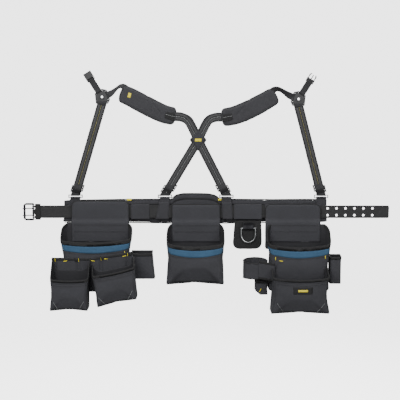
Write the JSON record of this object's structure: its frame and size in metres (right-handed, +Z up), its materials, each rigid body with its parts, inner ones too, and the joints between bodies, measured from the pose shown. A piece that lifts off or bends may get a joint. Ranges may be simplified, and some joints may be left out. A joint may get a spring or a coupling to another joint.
{
  "type": "tool belt with suspenders",
  "caption": "Padded web tool belt hung from a crossed harness by rings, with open pouches, a hammer loop holder, a roller buckle and a chest buckle.",
  "frame": {"origin": "middle of the back face of the harness's crossover patch", "axes": "+X along the belt towards its holed tail, +Y towards the wearer, +Z up from the belt to the shoulder pads"},
  "size_m": [1.429, 0.1721, 0.9222],
  "materials": {
    "webbing": "woven",
    "bag_cloth": "coarse weave",
    "padding": "padded weave",
    "olive_trim": "woven",
    "black_metal": "satin black",
    "steel": "bright",
    "black_plastic": "moulded"
  },
  "bodies": {
    "harness": {"strap_front_left": "webbing", "strap_front_right": "webbing", "strap_back_left": "webbing", "strap_back_right": "webbing", "cross_patch_back": "padding", "cross_patch_front": "olive_trim", "pad_left": "padding", "pad_right": "padding", "tri_ring_left": "black_plastic", "tri_ring_right": "black_plastic", "link_strap_left": "webbing", "link_strap_right": "webbing"},
    "rings": {"ring_front_left": "steel", "ring_back_left": "steel", "ring_back_right": "steel", "ring_front_right": "steel"},
    "yoke": {"yoke_pad": "padding", "yoke_tunnel": "padding", "tab_front_left": "webbing", "tab_back_left": "webbing", "tab_back_right": "webbing", "tab_front_right": "webbing"},
    "belt": {"web_belt": "webbing", "belt_chape": "webbing"},
    "keeper": {"belt_keeper": "black_plastic"},
    "buckle": {"buckle_frame": "black_metal"},
    "roller": {"buckle_roller": "black_metal"},
    "prong_upper": {"prong_upper": "black_metal"},
    "prong_lower": {"prong_lower": "black_metal"},
    "left_carrier": {"left_sleeve": "bag_cloth"},
    "left_bags": {"left_back_panel": "bag_cloth", "left_main_bag": "bag_cloth", "left_tool_sleeves": "bag_cloth", "left_nail_bag_outer": "bag_cloth", "left_nail_bag_inner": "bag_cloth", "left_side_pocket": "bag_cloth"},
    "center_carrier": {"center_sleeve": "bag_cloth"},
    "center_bags": {"center_back_panel": "bag_cloth", "center_bag": "bag_cloth"},
    "hammer_holder": {"hammer_sleeve": "bag_cloth", "hammer_pad": "black_plastic", "hammer_bracket": "black_metal"},
    "hammer_loop": {"hammer_loop": "steel"},
    "right_carrier": {"right_sleeve": "bag_cloth"},
    "right_bags": {"right_back_panel": "bag_cloth", "right_main_bag": "bag_cloth", "right_front_bag": "bag_cloth", "right_tool_loop": "bag_cloth", "right_low_pocket": "bag_cloth", "right_side_pocket": "bag_cloth"},
    "slider_front_left": {"slider_front_left": "black_plastic"},
    "slider_front_right": {"slider_front_right": "black_plastic"},
    "slider_back_left": {"slider_back_left": "black_plastic"},
    "slider_back_right": {"slider_back_right": "black_plastic"},
    "chest_left": {"chest_strap_left": "webbing", "chest_socket": "black_plastic"},
    "chest_right": {"chest_strap_right": "webbing", "chest_plug": "black_plastic"},
    "plug_prong_left": {"plug_prong_left": "black_plastic"},
    "plug_prong_right": {"plug_prong_right": "black_plastic"}
  },
  "joints": [
    {"name": "ring_swing", "type": "hinge", "parent": "harness", "child": "rings", "pos_m": [0, -0.00435, -0.214], "axis": [-1, 0, 0], "range_deg": [0, 25]},
    {"name": "belt_swing", "type": "hinge", "parent": "rings", "child": "yoke", "pos_m": [0, -0.00435, -0.224], "axis": [-1, 0, 0], "range_deg": [0, 35]},
    {"name": "belt_slide", "type": "slide", "parent": "yoke", "child": "belt", "axis": [1, 0, 0], "range_m": [-0.03, 0.03]},
    {"name": "keeper_slide", "type": "slide", "parent": "belt", "child": "keeper", "axis": [1, 0, 0], "range_m": [0, 0.012]},
    {"name": "buckle_swing", "type": "hinge", "parent": "belt", "child": "buckle", "pos_m": [-0.644, -0.01095, -0.279], "axis": [0, 0, 1], "range_deg": [-25, 25]},
    {"name": "prong_upper_swing", "type": "hinge", "parent": "buckle", "child": "prong_upper", "pos_m": [-0.644, -0.01095, -0.279], "axis": [0, 0, 1], "range_deg": [0, 95]},
    {"name": "prong_lower_swing", "type": "hinge", "parent": "buckle", "child": "prong_lower", "pos_m": [-0.644, -0.01095, -0.279], "axis": [0, 0, 1], "range_deg": [0, 95]},
    {"name": "roller_spin", "type": "hinge", "parent": "buckle", "child": "roller", "pos_m": [-0.678, -0.01095, -0.279], "axis": [0, 0, 1], "continuous": true},
    {"name": "left_slide", "type": "slide", "parent": "yoke", "child": "left_carrier", "axis": [1, 0, 0], "range_m": [-0.07, 0.004]},
    {"name": "left_swing", "type": "hinge", "parent": "left_carrier", "child": "left_bags", "pos_m": [0, -0.01765, -0.3105], "axis": [-1, 0, 0], "range_deg": [0, 40]},
    {"name": "center_slide", "type": "slide", "parent": "yoke", "child": "center_carrier", "axis": [1, 0, 0], "range_m": [-0.004, 0.003]},
    {"name": "center_swing", "type": "hinge", "parent": "center_carrier", "child": "center_bags", "pos_m": [0, -0.01765, -0.3105], "axis": [-1, 0, 0], "range_deg": [0, 40]},
    {"name": "right_slide", "type": "slide", "parent": "yoke", "child": "right_carrier", "axis": [1, 0, 0], "range_m": [0, 0.06]},
    {"name": "right_swing", "type": "hinge", "parent": "right_carrier", "child": "right_bags", "pos_m": [0, -0.01765, -0.3105], "axis": [-1, 0, 0], "range_deg": [0, 40]},
    {"name": "hammer_slide", "type": "slide", "parent": "yoke", "child": "hammer_holder", "axis": [1, 0, 0], "range_m": [-0.004, 0.008]},
    {"name": "hammer_loop_swing", "type": "hinge", "parent": "hammer_holder", "child": "hammer_loop", "pos_m": [0.195, -0.02815, -0.342], "axis": [-1, 0, 0], "range_deg": [0, 85]},
    {"name": "slider_front_left_slide", "type": "slide", "parent": "harness", "child": "slider_front_left", "axis": [0.2924, 0, 0.9563], "range_m": [-0.002, 0.15]},
    {"name": "slider_front_right_slide", "type": "slide", "parent": "harness", "child": "slider_front_right", "axis": [-0.2598, 0, 0.9657], "range_m": [-0.002, 0.15]},
    {"name": "slider_back_left_slide", "type": "slide", "parent": "harness", "child": "slider_back_left", "axis": [0.5192, 0, 0.8547], "range_m": [-0.002, 0.07]},
    {"name": "slider_back_right_slide", "type": "slide", "parent": "harness", "child": "slider_back_right", "axis": [-0.4572, 0, 0.8894], "range_m": [-0.002, 0.07]},
    {"name": "chest_left_swing", "type": "hinge", "parent": "harness", "child": "chest_left", "pos_m": [-0.38347, -0.00435, 0.18649], "axis": [0.8491, 0, 0.5283], "range_deg": [-60, 60]},
    {"name": "chest_right_swing", "type": "hinge", "parent": "harness", "child": "chest_right", "pos_m": [0.39965, -0.00435, 0.17849], "axis": [0.8491, 0, -0.5283], "range_deg": [-60, 60]},
    {"name": "plug_prong_left_flex", "type": "hinge", "parent": "chest_right", "child": "plug_prong_left", "pos_m": [0.42354, -0.00435, 0.24053], "axis": [0, 1, 0], "range_deg": [0, 6], "stiffness_Nm_per_rad": 0.6},
    {"name": "plug_prong_right_flex", "type": "hinge", "parent": "chest_right", "child": "plug_prong_right", "pos_m": [0.44476, -0.00435, 0.22733], "axis": [0, -1, 0], "range_deg": [0, 6], "stiffness_Nm_per_rad": 0.6}
  ]
}
